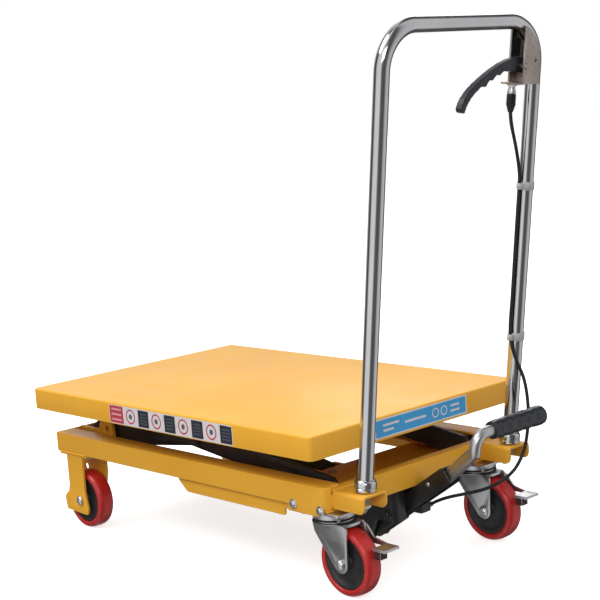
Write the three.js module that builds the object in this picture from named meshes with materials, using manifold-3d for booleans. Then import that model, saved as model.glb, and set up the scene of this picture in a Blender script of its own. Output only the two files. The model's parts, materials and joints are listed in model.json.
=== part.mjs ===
// Mobile scissor lift table: wheeled chassis, one pair of scissor arms, sheet-metal platform,
// hydraulic ram with a foot pump, and a leaning push handle with a hand release lever.
// Millimetres, +Z up. +X points to the handle end, -Y is the near side, +Y the far side.

import * as THREE from 'three';
import { mergeVertices } from 'three/addons/utils/BufferGeometryUtils.js';
import Module from 'manifold-3d';

const wasm = await Module();
wasm.setup();

// ---------------------------------------------------------------- driving dimensions

const GAP = 0.3;                       // clearance between touching pieces
const SHEET = 4;                       // frame and platform sheet thickness

const PLATFORM = { length: 700, width: 450, top: 246.5, skirt: 35, corner: 7 };

const RAIL = { outer: 197, depth: 35, bottom: 132, top: 165, back: -329, front: 336, endRadius: 14 };
const REAR_MEMBER = { outer: 341, halfWidth: 161.7, bottom: 125, top: 160, flange: 18 };
const FRONT_MEMBER = { outer: -333, flange: 18, flangeHalfWidth: 118 };

const ARM = {
  pivotX: -308, rollerX: 299, low: 148.5, high: 224,
  halfDepth: 16.5, thickness: 8, outerY: 144, innerY: 132,
};
const ARM_LENGTH = Math.hypot(ARM.rollerX - ARM.pivotX, ARM.high - ARM.low);
const REST_ANGLE = Math.atan2(ARM.high - ARM.low, ARM.rollerX - ARM.pivotX);
const RAISED_ANGLE = THREE.MathUtils.degToRad(64);
const LIFT_TRAVEL = RAISED_ANGLE - REST_ANGLE;
const SHAFT_R = 8;
const STUB_R = 6;
const ROLLER_R = 12;

const RAM = { baseX: 140, baseZ: 112, along: 190, below: 12, barrelR: 20, rodR: 12, pinR: 8 };

const WHEEL = { radius: 50, width: 30, rim: 39, centreZ: 50, bore: 5.3 };
const FIXED_WHEEL = { x: -279, y: 174.5 };
const SWIVEL = { x: 316, y: 156.9, wheelX: 344 };
const BRAKE = { x: 352, z: 98, pinR: 3 };

const HANDLE = { baseX: 385, baseZ: 162, lean: 8.3, halfWidth: 158.5, foot: -9, top: 638.7, bend: 60, tubeR: 11 };
const SOCKET = { back: 341.3, front: 404, top: 159, bottom: 133, centreY: 158.6, halfWidth: 24 };

const PUMP = { back: 170, front: 325, halfWidth: 42, top: 123.4, slot: 16 };
const PEDAL = { pivotX: 238, pivotZ: 41, slope: 33.3, length: 200, halfWidth: 13, depth: 27 };
const GRIP = { x: 457, z: 215, start: 33, end: 150, rodR: 8.5 };
const CABLE_R = 3;

// ---------------------------------------------------------------- finishes

function finish(color, roughness, metalness) {
  return new THREE.MeshStandardMaterial({ color, roughness, metalness });
}

const FINISH = {
  paint: () => finish(0xe9a52f, 0.42, 0.0),
  blackPaint: () => finish(0x1b1a19, 0.5, 0.0),
  chrome: () => finish(0xc9cccf, 0.16, 1.0),
  zinc: () => finish(0x9aa0a3, 0.38, 1.0),
  tyre: () => finish(0xc3262b, 0.35, 0.0),
  hub: () => finish(0x2a2b2b, 0.55, 0.0),
  steel: () => finish(0x8b7d72, 0.45, 1.0),
  lever: () => finish(0x2d333c, 0.4, 0.1),
  rubber: () => finish(0x1c1c1e, 0.75, 0.0),
  brass: () => finish(0xa98852, 0.4, 1.0),
};

// ---------------------------------------------------------------- geometry helpers

function plain(geometry) {
  const bare = geometry.clone();
  bare.deleteAttribute('normal');
  bare.deleteAttribute('uv');
  return mergeVertices(bare, 1e-4);
}

function toSolid(geometry) {
  const merged = plain(geometry);
  return new wasm.Manifold(new wasm.Mesh({
    numProp: 3,
    vertProperties: new Float32Array(merged.attributes.position.array),
    triVerts: new Uint32Array(merged.index.array),
  }));
}

function toGeometry(solid) {
  const mesh = solid.getMesh();
  const geometry = new THREE.BufferGeometry();
  geometry.setAttribute('position', new THREE.BufferAttribute(new Float32Array(mesh.vertProperties), 3));
  geometry.setIndex(new THREE.BufferAttribute(new Uint32Array(mesh.triVerts), 1));
  geometry.computeVertexNormals();
  return geometry;
}

function join(...geometries) {
  return toGeometry(geometries.map(toSolid).reduce((sum, next) => sum.add(next)));
}

function cut(geometry, ...tools) {
  return toGeometry(tools.map(toSolid).reduce((rest, tool) => rest.subtract(tool), toSolid(geometry)));
}

function mirroredY(geometry) {
  const copy = plain(geometry);
  copy.scale(1, -1, 1);
  const corners = copy.index.array;
  for (let i = 0; i < corners.length; i += 3) {
    [corners[i], corners[i + 1]] = [corners[i + 1], corners[i]];
  }
  copy.computeVertexNormals();
  return copy;
}

// side is +1 for the far side, which the shapes are drawn on, and -1 for the near side
function onSide(geometry, side) {
  return side > 0 ? geometry : mirroredY(geometry);
}

function block(x, y, z) {
  const geometry = new THREE.BoxGeometry(x[1] - x[0], y[1] - y[0], z[1] - z[0]);
  geometry.translate((x[0] + x[1]) / 2, (y[0] + y[1]) / 2, (z[0] + z[1]) / 2);
  return geometry;
}

function extruded(shape, depth, curveSegments) {
  return new THREE.ExtrudeGeometry(shape, { depth, bevelEnabled: false, curveSegments });
}

// a plate whose outline is drawn in X and Z, between two Y values
function plateXZ(shape, y, curveSegments = 6) {
  const geometry = extruded(shape, y[1] - y[0], curveSegments);
  geometry.rotateX(Math.PI / 2);
  geometry.translate(0, y[1], 0);
  return geometry;
}

// a bar whose section is drawn in Y and Z, between two X values
function barYZ(shape, x, curveSegments = 4) {
  const geometry = extruded(shape, x[1] - x[0], curveSegments);
  geometry.applyMatrix4(new THREE.Matrix4().makeBasis(
    new THREE.Vector3(0, 1, 0), new THREE.Vector3(0, 0, 1), new THREE.Vector3(1, 0, 0)));
  geometry.translate(x[0], 0, 0);
  return geometry;
}

// a plate whose outline is drawn in X and Y, between two Z values
function plateXY(shape, z, curveSegments = 6) {
  const geometry = extruded(shape, z[1] - z[0], curveSegments);
  geometry.translate(0, 0, z[0]);
  return geometry;
}

function rodAlongY(radius, y, x, z, sides = 20) {
  const geometry = new THREE.CylinderGeometry(radius, radius, y[1] - y[0], sides);
  geometry.translate(x, (y[0] + y[1]) / 2, z);
  return geometry;
}

function rodAlongX(radius, x, y, z, sides = 20) {
  const geometry = new THREE.CylinderGeometry(radius, radius, x[1] - x[0], sides);
  geometry.rotateZ(Math.PI / 2);
  geometry.translate((x[0] + x[1]) / 2, y, z);
  return geometry;
}

function rodAlongZ(radius, z, x, y, sides = 20) {
  const geometry = new THREE.CylinderGeometry(radius, radius, z[1] - z[0], sides);
  geometry.rotateX(Math.PI / 2);
  geometry.translate(x, y, (z[0] + z[1]) / 2);
  return geometry;
}

// a turned piece: the profile holds [radius, distance along Y]
function turnedAlongY(profile, segments) {
  return new THREE.LatheGeometry(profile.map(([r, y]) => new THREE.Vector2(r, y)), segments);
}

// an outline of straight sides with every corner rounded to its own radius
function roundedOutline(corners) {
  const shape = new THREE.Shape();
  corners.forEach(([x, y, radius = 0], i) => {
    const corner = new THREE.Vector2(x, y);
    const before = new THREE.Vector2(...corners.at(i - 1).slice(0, 2));
    const after = new THREE.Vector2(...corners[(i + 1) % corners.length].slice(0, 2));
    const start = corner.clone().add(before.sub(corner).setLength(radius));
    const end = corner.clone().add(after.sub(corner).setLength(radius));
    if (i === 0) shape.moveTo(start.x, start.y);
    else shape.lineTo(start.x, start.y);
    if (radius > 0) shape.quadraticCurveTo(corner.x, corner.y, end.x, end.y);
  });
  shape.closePath();
  return shape;
}

// a curve that gives an extrusion one ring at each chosen station, so straight runs stay light
class StationCurve extends THREE.Curve {
  constructor(points, tangents) {
    super();
    this.points = points;
    this.tangents = tangents;
  }

  getPointAt(u) {
    return this.points[Math.round(u * (this.points.length - 1))].clone();
  }

  getPoint(t) {
    return this.getPointAt(t);
  }

  getTangentAt(u) {
    return this.tangents[Math.round(u * (this.points.length - 1))].clone();
  }
}

// a round bar along straight runs joined by bends of one radius
function bentBar(corners, bendRadius, barRadius, sides, bendSteps) {
  const points = [];
  const tangents = [];
  const put = (point, tangent) => {
    points.push(point);
    tangents.push(tangent.clone().normalize());
  };
  const vertices = corners.map((c) => new THREE.Vector3(...c));
  put(vertices[0], vertices[1].clone().sub(vertices[0]));
  for (let i = 1; i < vertices.length - 1; i += 1) {
    const inward = vertices[i].clone().sub(vertices[i - 1]).normalize();
    const outward = vertices[i + 1].clone().sub(vertices[i]).normalize();
    const turn = inward.angleTo(outward);
    const reach = bendRadius * Math.tan(turn / 2);
    const start = vertices[i].clone().addScaledVector(inward, -reach);
    const toCentre = outward.clone().addScaledVector(inward, -outward.dot(inward)).normalize();
    const centre = start.clone().addScaledVector(toCentre, bendRadius);
    for (let k = 0; k <= bendSteps; k += 1) {
      const a = (turn * k) / bendSteps;
      put(
        centre.clone().addScaledVector(toCentre, -bendRadius * Math.cos(a))
          .addScaledVector(inward, bendRadius * Math.sin(a)),
        inward.clone().multiplyScalar(Math.cos(a)).addScaledVector(toCentre, Math.sin(a)));
    }
  }
  const last = vertices.at(-1);
  put(last, last.clone().sub(vertices.at(-2)));
  const section = new THREE.Shape();
  section.absarc(0, 0, barRadius, 0, 2 * Math.PI, false);
  return new THREE.ExtrudeGeometry(section, {
    steps: points.length - 1,
    curveSegments: sides,
    extrudePath: new StationCurve(points, tangents),
  });
}

const group = new THREE.Group();

function piece(name, geometry, material, parent = group) {
  const mesh = new THREE.Mesh(geometry, material);
  mesh.name = name;
  parent.add(mesh);
  return mesh;
}

const SIDES = [['near', -1], ['far', 1]];

// ---------------------------------------------------------------- chassis

function sideRail() {
  const { outer, depth, bottom, top, back, front, endRadius } = RAIL;
  const inner = outer - depth;
  const bendStart = front + 6 - endRadius;
  const plan = new THREE.Shape();
  plan.moveTo(back, inner);
  plan.lineTo(front, inner);
  plan.lineTo(front, outer - endRadius);
  plan.lineTo(front + 6, outer - endRadius);
  plan.absarc(bendStart, outer - endRadius, endRadius, 0, Math.PI / 2, false);
  plan.lineTo(back, outer);
  plan.closePath();
  const tall = plateXY(plan, [bottom, top]);
  const hollow = block([back - 1, front + 1 - SHEET], [inner - 1, outer - SHEET], [bottom + SHEET, top - SHEET]);
  const tab = block([262, bendStart], [outer - SHEET, outer], [122, bottom + 1]);
  return join(cut(tall, hollow), tab);
}

function rearCrossMember() {
  const { outer, halfWidth, bottom, top, flange } = REAR_MEMBER;
  const web = block([outer - SHEET, outer], [-halfWidth, halfWidth], [RAIL.bottom, top]);
  const apron = block([outer - SHEET, outer], [-112, 112], [bottom, RAIL.bottom + 1]);
  const lip = block([outer - flange, outer], [-halfWidth, halfWidth], [top - SHEET, top]);
  return join(web, apron, lip);
}

// the far-end member closes the rails and carries the two lugs of the arms' fixed pivot
function frontCrossMember() {
  const { outer, flange, flangeHalfWidth } = FRONT_MEMBER;
  const { bottom, top } = RAIL;
  const inside = outer + SHEET - GAP;
  const web = block([outer, inside], [-RAIL.outer, RAIL.outer], [bottom, top]);
  const flanges = [bottom, top - SHEET].map((z) => block(
    [outer, outer + SHEET + flange], [-flangeHalfWidth, flangeHalfWidth], [z, z + SHEET]));
  const ear = { x: -255.5, z: 168.5, radius: 19.5, hole: 5 };
  const lugShape = new THREE.Shape();
  lugShape.moveTo(outer, bottom);
  lugShape.lineTo(ear.x + ear.radius, bottom);
  lugShape.absarc(ear.x, ear.z, ear.radius, 0, Math.PI, false);
  lugShape.lineTo(ARM.pivotX + 18, top + 1);
  lugShape.lineTo(outer, top + 1);
  lugShape.closePath();
  const lugs = SIDES.map(([, side]) => onSide(plateXZ(lugShape, [140, 146], 12), side));
  const bores = rodAlongY(SHAFT_R + GAP, [-150, 150], ARM.pivotX, ARM.low, 24);
  const sightHoles = rodAlongY(ear.hole, [-150, 150], ear.x + 2.5, ear.z + 1.5, 16);
  return cut(join(web, ...flanges, ...lugs), bores, sightHoles);
}

// a folded socket, open towards the handle end, that holds the foot of a handle upright
function handleSocket() {
  const { back, front, top, bottom, centreY, halfWidth } = SOCKET;
  const section = roundedOutline([
    [centreY - halfWidth, bottom], [centreY - halfWidth, top, 6],
    [centreY + halfWidth, top, 6], [centreY + halfWidth, bottom],
    [centreY + halfWidth - SHEET, bottom], [centreY + halfWidth - SHEET, top - SHEET, 3],
    [centreY - halfWidth + SHEET, top - SHEET, 3], [centreY - halfWidth + SHEET, bottom],
  ]);
  const sideView = roundedOutline([
    [back - 1, bottom - 1], [front, bottom - 1, 14], [front, top + 1], [back - 1, top + 1],
  ]);
  const trimmed = toGeometry(toSolid(barYZ(section, [back, front]))
    .intersect(toSolid(plateXZ(sideView, [centreY - 30, centreY + 30]))));
  const tubeHole = rodAlongZ(HANDLE.tubeR + 0.4, [-30, 30], 0, 0, 24);
  tubeHole.rotateY(THREE.MathUtils.degToRad(HANDLE.lean));
  tubeHole.translate(HANDLE.baseX, HANDLE.halfWidth, HANDLE.baseZ);
  return cut(trimmed, tubeHole);
}

// the tapered gusset under a rail, joined to the plate that the swivel caster bolts to
function railBracket() {
  const top = RAIL.bottom - GAP;
  const gusset = roundedOutline([
    [1, top], [1, top - 4], [21, 111, 4], [250, 111, 4], [250, 122], [264, 122], [264, top],
  ]);
  const casterPlate = block([262, 340], [115, 192.6], [128, top]);
  return join(plateXZ(gusset, [188.7, 192.6]), casterPlate);
}

function fixedWheelBracket() {
  const top = RAIL.bottom - GAP;
  const inset = WHEEL.width / 2 + 2.5;
  const innerY = FIXED_WHEEL.y - inset;
  const outerY = FIXED_WHEEL.y + inset;
  const outerLeg = roundedOutline([
    [-309, top], [-309, 66, 4], [-326, 52, 3], [-322, 29, 3], [-262, 26, 3], [-258, 36, 3],
    [-264, 62, 6], [-264, top],
  ]);
  const innerLeg = roundedOutline([
    [-328, top], [-328, 74, 6], [-318, 38, 8], [-288, 32, 8], [-264, 38, 8], [-250, 96, 6], [-250, top],
  ]);
  const body = join(
    block([-328, -250], [innerY - SHEET, outerY + SHEET], [top - SHEET, top]),
    plateXZ(outerLeg, [outerY, outerY + SHEET]),
    plateXZ(innerLeg, [innerY - SHEET, innerY]));
  return cut(body,
    rodAlongY(WHEEL.bore, [140, 210], FIXED_WHEEL.x, WHEEL.centreZ),
    rodAlongY(6, [140, 160], -310, 98, 14));
}

// plate, upper race and kingpin of a swivel caster
function casterHead() {
  const plate = roundedOutline([[-45, -35, 6], [45, -35, 6], [45, 35, 6], [-45, 35, 6]]);
  return join(
    plateXY(plate, [124, 127.7], 3),
    rodAlongZ(32, [115, 125], 0, 0, 28),
    rodAlongZ(6, [97, 116], 0, 0, 12),
    rodAlongZ(9, [97, 103], 0, 0, 6));
}

function chassis() {
  for (const [name, side] of SIDES) {
    piece(`side_rail_${name}`, onSide(sideRail(), side), FINISH.paint());
    piece(`handle_socket_${name}`, onSide(handleSocket(), side), FINISH.paint());
    piece(`rail_bracket_${name}`, onSide(railBracket(), side), FINISH.paint());
    piece(`wheel_bracket_${name}`, onSide(fixedWheelBracket(), side), FINISH.paint());
    const head = piece(`caster_head_${name}`, casterHead(), FINISH.zinc());
    head.position.set(SWIVEL.x, side * SWIVEL.y, 0);
  }
  piece('rear_cross_member', rearCrossMember(), FINISH.paint());
  piece('front_cross_member', frontCrossMember(), FINISH.paint());
}

// ---------------------------------------------------------------- wheels and casters

function tyre() {
  const half = WHEEL.width / 2;
  const profile = [
    [WHEEL.rim, -half + 2], [WHEEL.radius - 8, -half], [WHEEL.radius - 2.5, -half + 4],
    [WHEEL.radius, -half + 10], [WHEEL.radius, half - 10], [WHEEL.radius - 2.5, half - 4],
    [WHEEL.radius - 8, half], [WHEEL.rim, half - 2], [WHEEL.rim, -half + 2],
  ];
  return turnedAlongY(profile, 44);
}

function hub() {
  const rim = WHEEL.rim - GAP;
  const profile = [
    [WHEEL.bore, -15], [12, -15], [14, -11], [30, -9], [34, -12], [rim, -12],
    [rim, 12], [34, 12], [30, 9], [14, 11], [12, 15], [WHEEL.bore, 15], [WHEEL.bore, -15],
  ];
  return turnedAlongY(profile, 28);
}

// a bolt used as an axle, with a domed head on each side of the fork or bracket
function axleBolt(inset) {
  const head = inset + 5.5;
  return turnedAlongY([
    [0, -head], [4, -head], [8, -inset - GAP], [5, -inset - GAP],
    [5, inset + GAP], [8, inset + GAP], [8, head - 1], [0, head - 1],
  ], 16);
}

// crown, lower race and two tapered legs; its own origin is on the swivel axis at floor level
function casterFork() {
  const reach = SWIVEL.wheelX - SWIVEL.x;
  const leg = new THREE.Shape();
  leg.moveTo(-26, 108);
  leg.lineTo(-22, 92);
  leg.lineTo(reach - 10.5, WHEEL.centreZ - 9);
  leg.absarc(reach, WHEEL.centreZ, 13, Math.PI * 1.2, Math.PI * 2, false);
  leg.lineTo(reach + 15, 90);
  leg.lineTo(reach + 14.5, 104);
  leg.lineTo(reach + 10, 108);
  leg.closePath();
  const legs = SIDES.map(([, side]) => onSide(plateXZ(leg, [17.5, 20.5], 10), side));
  const crown = plateXY(roundedOutline([
    [-26, -20.5, 6], [reach + 12, -20.5, 14], [reach + 12, 20.5, 14], [-26, 20.5, 6],
  ]), [104, 108], 4);
  const race = rodAlongZ(30, [107, 114.6], 0, 0, 28);
  const brakeBore = rodAlongY(BRAKE.pinR + GAP, [15, 25], BRAKE.x - SWIVEL.x, BRAKE.z, 16);
  return cut(join(crown, race, ...legs),
    rodAlongZ(6 + GAP, [100, 120], 0, 0, 16),
    rodAlongY(WHEEL.bore, [-25, 25], reach, WHEEL.centreZ, 16),
    brakeBore);
}

// bell-crank outside one fork leg, with a foot tab across its end and a brake block under the tab;
// origin on its pivot
function brakeLever() {
  const arm = roundedOutline([
    [-6, 5, 4], [6, 5, 4], [20, -13, 3], [45, -18], [66, -18], [66, -22], [18, -22, 5], [-6, -5, 4],
  ]);
  const tab = block([43, 67], [-6, 24], [-22, -18]);
  const brakeBlock = block([44, 56], [-4, 10], [-34, -21]);
  const pin = rodAlongY(BRAKE.pinR, [17.2, 22], 0, 0, 16);
  return join(plateXZ(arm, [21, 24], 3), tab, brakeBlock, pin);
}

function wheelSet(name, side) {
  const fixed = new THREE.Group();
  fixed.position.set(FIXED_WHEEL.x, side * FIXED_WHEEL.y, WHEEL.centreZ);
  group.add(fixed);
  piece(`fixed_tyre_${name}`, tyre(), FINISH.tyre(), fixed);
  piece(`fixed_hub_${name}`, hub(), FINISH.hub(), fixed);
  piece(`fixed_axle_${name}`, axleBolt(WHEEL.width / 2 + 6.5), FINISH.zinc(), fixed);

  const caster = new THREE.Group();
  caster.position.set(SWIVEL.x, side * SWIVEL.y, 0);
  group.add(caster);
  piece(`caster_fork_${name}`, casterFork(), FINISH.zinc(), caster);
  const brake = piece(`brake_lever_${name}`, brakeLever(), FINISH.zinc(), caster);
  brake.position.set(BRAKE.x - SWIVEL.x, 0, BRAKE.z);

  const wheel = new THREE.Group();
  wheel.position.set(SWIVEL.wheelX - SWIVEL.x, 0, WHEEL.centreZ);
  caster.add(wheel);
  piece(`caster_tyre_${name}`, tyre(), FINISH.tyre(), wheel);
  piece(`caster_hub_${name}`, hub(), FINISH.hub(), wheel);
  piece(`caster_axle_${name}`, axleBolt(20.5), FINISH.zinc(), wheel);
}

// ---------------------------------------------------------------- platform

function platformDeck() {
  const { length, width, top, skirt, corner } = PLATFORM;
  const halfL = length / 2;
  const halfW = width / 2;
  const edge = 3;
  const shell = (inset) => roundedOutline([
    [-halfL + inset, -halfW + inset, corner], [halfL - inset, -halfW + inset, corner],
    [halfL - inset, halfW - inset, corner], [-halfL + inset, halfW - inset, corner],
  ]);
  const outer = new THREE.ExtrudeGeometry(shell(edge), {
    depth: skirt + edge, bevelEnabled: true, bevelSize: edge, bevelThickness: edge, bevelSegments: 3,
    curveSegments: 3,
  });
  outer.translate(0, 0, top - skirt - 2 * edge);
  const below = block([-halfL - 1, halfL + 1], [-halfW - 1, halfW + 1], [top - skirt - 20, top - skirt]);
  const pan = block([-halfL + SHEET, halfL - SHEET], [-halfW + SHEET, halfW - SHEET],
    [top - skirt - 1, top - SHEET]);
  const lugShape = new THREE.Shape();
  lugShape.moveTo(ARM.pivotX + 18, top - SHEET + 1);
  lugShape.lineTo(ARM.pivotX - 18, top - SHEET + 1);
  lugShape.lineTo(ARM.pivotX - 18, ARM.high);
  lugShape.absarc(ARM.pivotX, ARM.high, 18, Math.PI, 2 * Math.PI, false);
  lugShape.closePath();
  const lug = cut(plateXZ(lugShape, [152, 158], 10),
    rodAlongY(SHAFT_R + GAP, [150, 160], ARM.pivotX, ARM.high, 24));
  const track = block([-60, 336], [137.5, 154], [ARM.high + ROLLER_R + 0.5, top - SHEET + 1]);
  const fittings = SIDES.flatMap(([, side]) => [onSide(lug, side), onSide(track, side)]);
  return join(cut(outer, below, pan), ...fittings);
}

// ---------------------------------------------------------------- scissor arms

// Arm frame: u runs along the arm from its hinge end, v is square to it, upwards on the inner arm.
function armOutline(top, heelReach = 0) {
  const shape = new THREE.Shape();
  const heelStart = Math.PI / 2 + Math.asin(heelReach / ARM.halfDepth);
  shape.absarc(0, 0, ARM.halfDepth, heelStart, 1.5 * Math.PI, false);
  shape.lineTo(ARM_LENGTH, -ARM.halfDepth);
  shape.absarc(ARM_LENGTH, 0, ARM.halfDepth, -Math.PI / 2, Math.PI / 2, false);
  top.forEach(([u, v]) => shape.lineTo(u, v));
  shape.closePath();
  return shape;
}

function armPlate(outline, centreY) {
  const half = ARM.thickness / 2;
  const plate = plateXZ(outline, [centreY - half, centreY + half], 14);
  const bores = [0, ARM_LENGTH / 2].map((u) => rodAlongY(
    SHAFT_R + GAP, [centreY - 10, centreY + 10], u, 0, 24));
  return cut(plate, ...bores);
}

// each arm carries its roller on a stub welded into its far end
function withRollerStub(plate, centreY, stubEnd) {
  const face = centreY - ARM.thickness / 2;
  return join(plate, rodAlongY(STUB_R, [face, stubEnd], ARM_LENGTH, 0, 20));
}

function outerArm() {
  return withRollerStub(armPlate(armOutline([]), ARM.outerY), ARM.outerY, 186);
}

// the inner arm has a deeper web beside the fixed pivot
function innerArm() {
  const web = [[200, ARM.halfDepth], [130, 34], [27, 31]];
  return withRollerStub(armPlate(armOutline(web, 6), ARM.innerY), ARM.innerY, 153);
}

// where the ram's pin is in the inner arm's frame after a lift by phi, at the coupled ratios
function ramGeometry() {
  const tip = (phi) => {
    const angle = REST_ANGLE + phi;
    return new THREE.Vector2(
      ARM.pivotX + RAM.along * Math.cos(angle) + RAM.below * Math.sin(angle) - RAM.baseX,
      ARM.low + RAM.along * Math.sin(angle) - RAM.below * Math.cos(angle) - RAM.baseZ);
  };
  const rest = tip(0);
  const raised = tip(LIFT_TRAVEL);
  return {
    restLength: rest.length(),
    restAngle: rest.angle(),
    swingRatio: (raised.angle() - rest.angle()) / LIFT_TRAVEL,
    strokeRatio: (raised.length() - rest.length()) / LIFT_TRAVEL,
  };
}

function ramPinInArm(phi, ram) {
  const length = ram.restLength + ram.strokeRatio * phi;
  const angle = ram.restAngle + ram.swingRatio * phi;
  const pin = new THREE.Vector2(
    RAM.baseX + length * Math.cos(angle) - ARM.pivotX,
    RAM.baseZ + length * Math.sin(angle) - ARM.low);
  return pin.rotateAround(new THREE.Vector2(0, 0), -(REST_ANGLE + phi));
}

// cross tube of the inner arms with two slotted plates that the ram's pin pushes on
function ramBracket(ram) {
  const halfTube = ARM.innerY - ARM.thickness / 2 - GAP;
  const tube = rodAlongY(10, [-halfTube, halfTube], RAM.along, 12, 20);
  const steps = 20;
  const stations = Array.from({ length: steps + 1 }, (_, i) => ramPinInArm((LIFT_TRAVEL * i) / steps, ram));
  const reachU = stations.map((p) => p.x);
  const reachV = stations.map((p) => p.y);
  const rim = RAM.pinR + 7;
  const plate = roundedOutline([
    [Math.min(...reachU) - rim, Math.min(...reachV) - rim, 12],
    [Math.max(...reachU) + rim, Math.min(...reachV) - rim, 12],
    [Math.max(...reachU) + rim, Math.max(...reachV) + rim + 4, 12],
    [Math.min(...reachU) - rim, Math.max(...reachV) + rim + 4, 12],
  ]);
  const plates = SIDES.map(([, side]) => onSide(plateXZ(plate, [15, 21], 4), side));
  const slot = stations.map((p) => rodAlongY(RAM.pinR + 0.9, [-25, 25], p.x, p.y, 16));
  const middle = block([Math.min(...reachU) - 40, Math.max(...reachU) + 40], [-14, 14], [-60, 1]);
  return cut(join(tube, ...plates), ...slot, middle);
}

function roller(half) {
  const bore = STUB_R + GAP;
  return turnedAlongY([[bore, -half], [ROLLER_R, -half], [ROLLER_R, half], [bore, half], [bore, -half]], 24);
}

function scissor(ram) {
  const inner = new THREE.Group();
  inner.position.set(ARM.pivotX, 0, ARM.low);
  inner.rotation.y = -REST_ANGLE;
  const outer = new THREE.Group();
  outer.position.set(ARM.pivotX, 0, ARM.high);
  outer.rotation.y = REST_ANGLE;
  group.add(inner, outer);

  for (const [name, side] of SIDES) {
    piece(`inner_arm_${name}`, onSide(innerArm(), side), FINISH.blackPaint(), inner);
    piece(`outer_arm_${name}`, onSide(outerArm(), side), FINISH.blackPaint(), outer);
    piece(`lower_roller_${name}`, roller(7), FINISH.zinc(), outer).position.set(ARM_LENGTH, side * 177, 0);
    piece(`upper_roller_${name}`, roller(6.5), FINISH.zinc(), inner).position.set(ARM_LENGTH, side * 145.5, 0);
  }

  const innerFace = ARM.innerY - ARM.thickness / 2 - GAP;
  const outerFace = ARM.outerY - ARM.thickness / 2 - GAP;
  piece('inner_pivot_shaft', join(
    rodAlongY(SHAFT_R, [-149, 149], 0, 0, 24), rodAlongY(12, [-innerFace, innerFace], 0, 0, 24)),
  FINISH.blackPaint(), inner);
  piece('centre_shaft', join(
    rodAlongY(SHAFT_R, [-152, 152], ARM_LENGTH / 2, 0, 24),
    ...SIDES.map(([, side]) => onSide(rodAlongY(13, [148 + GAP, 152], ARM_LENGTH / 2, 0, 24), side))),
  FINISH.blackPaint(), inner);
  piece('inner_cross_tube', rodAlongY(9, [-136, 136], 570, -ARM.halfDepth - 9 - GAP, 20),
    FINISH.blackPaint(), inner);
  piece('ram_bracket', ramBracket(ram), FINISH.blackPaint(), inner);
  piece('outer_pivot_shaft', rodAlongY(SHAFT_R, [-162, 162], 0, 0, 24), FINISH.zinc(), outer);
  piece('outer_cross_tube', rodAlongY(9, [-outerFace, outerFace], 120, 4, 20), FINISH.blackPaint(), outer);
}

// ---------------------------------------------------------------- hydraulic ram

function hydraulicRam(ram) {
  const frame = new THREE.Group();
  frame.position.set(RAM.baseX, 0, RAM.baseZ);
  frame.rotation.y = -ram.restAngle;
  group.add(frame);

  const barrelEnd = ram.restLength - 26;
  const boreStart = 58;
  const body = join(
    rodAlongX(RAM.barrelR, [0, barrelEnd], 0, 0, 28),
    rodAlongX(RAM.barrelR + 2.5, [barrelEnd - 18, barrelEnd], 0, 0, 28),
    rodAlongY(7, [-30, 30], 0, 0, 20));
  const trimmed = cut(body, rodAlongX(RAM.rodR + GAP, [boreStart, barrelEnd + 1], 0, 0, 28));
  piece('ram_barrel', trimmed, FINISH.blackPaint(), frame);

  const rod = join(
    rodAlongX(RAM.rodR, [boreStart + 4, ram.restLength], 0, 0, 28),
    rodAlongY(RAM.rodR + 1.5, [-13, 13], ram.restLength, 0, 24),
    rodAlongY(RAM.pinR, [-24, 24], ram.restLength, 0, 20));
  piece('ram_rod', rod, FINISH.chrome(), frame);
}

// ---------------------------------------------------------------- pump and pedal

function pumpMount() {
  const top = 128;
  const wide = block([160, 258], [-188.4, 188.4], [PUMP.top + GAP, top]);
  const tongue = block([250, 336.5], [-60, 60], [PUMP.top + GAP, top]);
  const earShape = new THREE.Shape();
  earShape.moveTo(168, PUMP.top + 1);
  earShape.lineTo(128, PUMP.top + 1);
  earShape.lineTo(126, RAM.baseZ);
  earShape.absarc(RAM.baseX, RAM.baseZ, 14, Math.PI, 1.75 * Math.PI, false);
  earShape.closePath();
  const ears = SIDES.map(([, side]) => onSide(plateXZ(earShape, [22.6, 28.6]), side));
  return cut(join(wide, tongue, ...ears), rodAlongY(7 + GAP, [-40, 40], RAM.baseX, RAM.baseZ, 20));
}

// reservoir with a slot for the pedal arm, and two cheeks that hold the pedal's pivot pin
function pumpBody() {
  const { back, front, halfWidth, top, slot } = PUMP;
  const plan = roundedOutline([
    [back, -halfWidth, 10], [front, -halfWidth, 10], [front, halfWidth, 10], [back, halfWidth, 10],
  ]);
  const tank = plateXY(plan, [72, top], 4);
  const armSlot = block([back + 42, front + 1], [-slot, slot], [60, top - 8]);
  const cheek = roundedOutline([
    [218, 80], [PEDAL.pivotX - 16, PEDAL.pivotZ - 4, 6], [PEDAL.pivotX - 8, PEDAL.pivotZ - 16, 6],
    [PEDAL.pivotX + 10, PEDAL.pivotZ - 15, 6], [PEDAL.pivotX + 17, PEDAL.pivotZ, 6], [276, 80],
  ]);
  const cheeks = SIDES.map(([, side]) => onSide(plateXZ(cheek, [slot, slot + 6], 4), side));
  const pin = rodAlongY(6, [-slot - 9, slot + 9], PEDAL.pivotX, PEDAL.pivotZ, 16);
  const plungerBore = rodAlongZ(7 + GAP, [60, top - 20], 268, 0, 20);
  const boss = rodAlongZ(13, [90, top], 268, 0, 20);
  return join(cut(join(cut(tank, armSlot), boss), plungerBore), ...cheeks, pin);
}

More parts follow.
